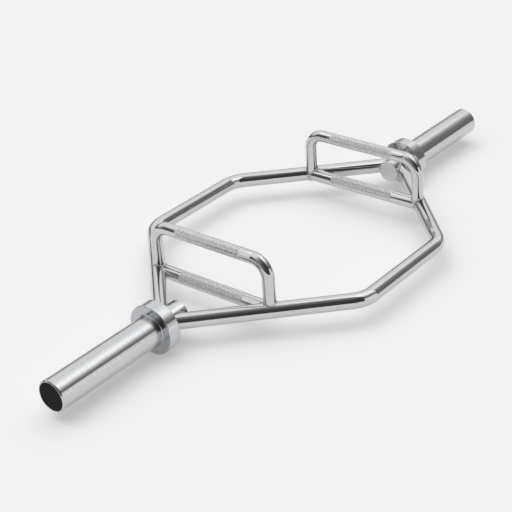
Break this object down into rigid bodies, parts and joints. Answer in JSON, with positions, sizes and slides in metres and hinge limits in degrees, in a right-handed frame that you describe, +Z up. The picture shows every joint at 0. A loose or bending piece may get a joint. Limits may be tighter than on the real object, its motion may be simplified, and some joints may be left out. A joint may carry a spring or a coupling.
{
  "type": "hex trap bar",
  "caption": "Hexagonal welded trap bar with low and raised knurled handles on each side and round plate sleeves that spin on bushings behind stop collars.",
  "frame": {"origin": "on the floor under the middle of the bar, with both collars standing on the floor", "axes": "+X along the sleeves to the right, +Y to the rear of the hexagon, +Z up, square to its plane"},
  "size_m": [1.0956, 0.454, 0.1302],
  "materials": {
    "bright_chrome": "mirror plated",
    "knurled_chrome": "mirror plated, diamond knurl on the grips",
    "weld_chrome": "plated weld bead",
    "satin_chrome": "satin plated",
    "hard_steel": "ground",
    "bushing_bronze": "machined",
    "cap_plastic": "satin"
  },
  "bodies": {
    "frame": {"front_frame_bar": "bright_chrome", "rear_frame_bar": "bright_chrome", "left_hub_axle": "bright_chrome", "left_low_handle": "knurled_chrome", "left_raised_handle": "knurled_chrome", "left_hub_welds": "weld_chrome", "left_low_handle_welds": "weld_chrome", "left_raised_handle_welds": "weld_chrome", "left_inner_thrust_washer": "hard_steel", "left_outer_thrust_washer": "hard_steel", "left_retaining_ring": "hard_steel", "right_hub_axle": "bright_chrome", "right_low_handle": "knurled_chrome", "right_raised_handle": "knurled_chrome", "right_hub_welds": "weld_chrome", "right_low_handle_welds": "weld_chrome", "right_raised_handle_welds": "weld_chrome", "right_inner_thrust_washer": "hard_steel", "right_outer_thrust_washer": "hard_steel", "right_retaining_ring": "hard_steel"},
    "left_rotating_sleeve": {"left_sleeve": "satin_chrome", "left_collar": "satin_chrome", "left_inner_bushing": "bushing_bronze", "left_outer_bushing": "bushing_bronze", "left_end_cap": "cap_plastic"},
    "right_rotating_sleeve": {"right_sleeve": "satin_chrome", "right_collar": "satin_chrome", "right_inner_bushing": "bushing_bronze", "right_outer_bushing": "bushing_bronze", "right_end_cap": "cap_plastic"}
  },
  "joints": [
    {"name": "left_sleeve_spin", "type": "hinge", "parent": "frame", "child": "left_rotating_sleeve", "pos_m": [-0.4479, 0, 0.04], "axis": [1, 0, 0], "continuous": true},
    {"name": "right_sleeve_spin", "type": "hinge", "parent": "frame", "child": "right_rotating_sleeve", "pos_m": [0.4479, 0, 0.04], "axis": [1, 0, 0], "continuous": true}
  ]
}
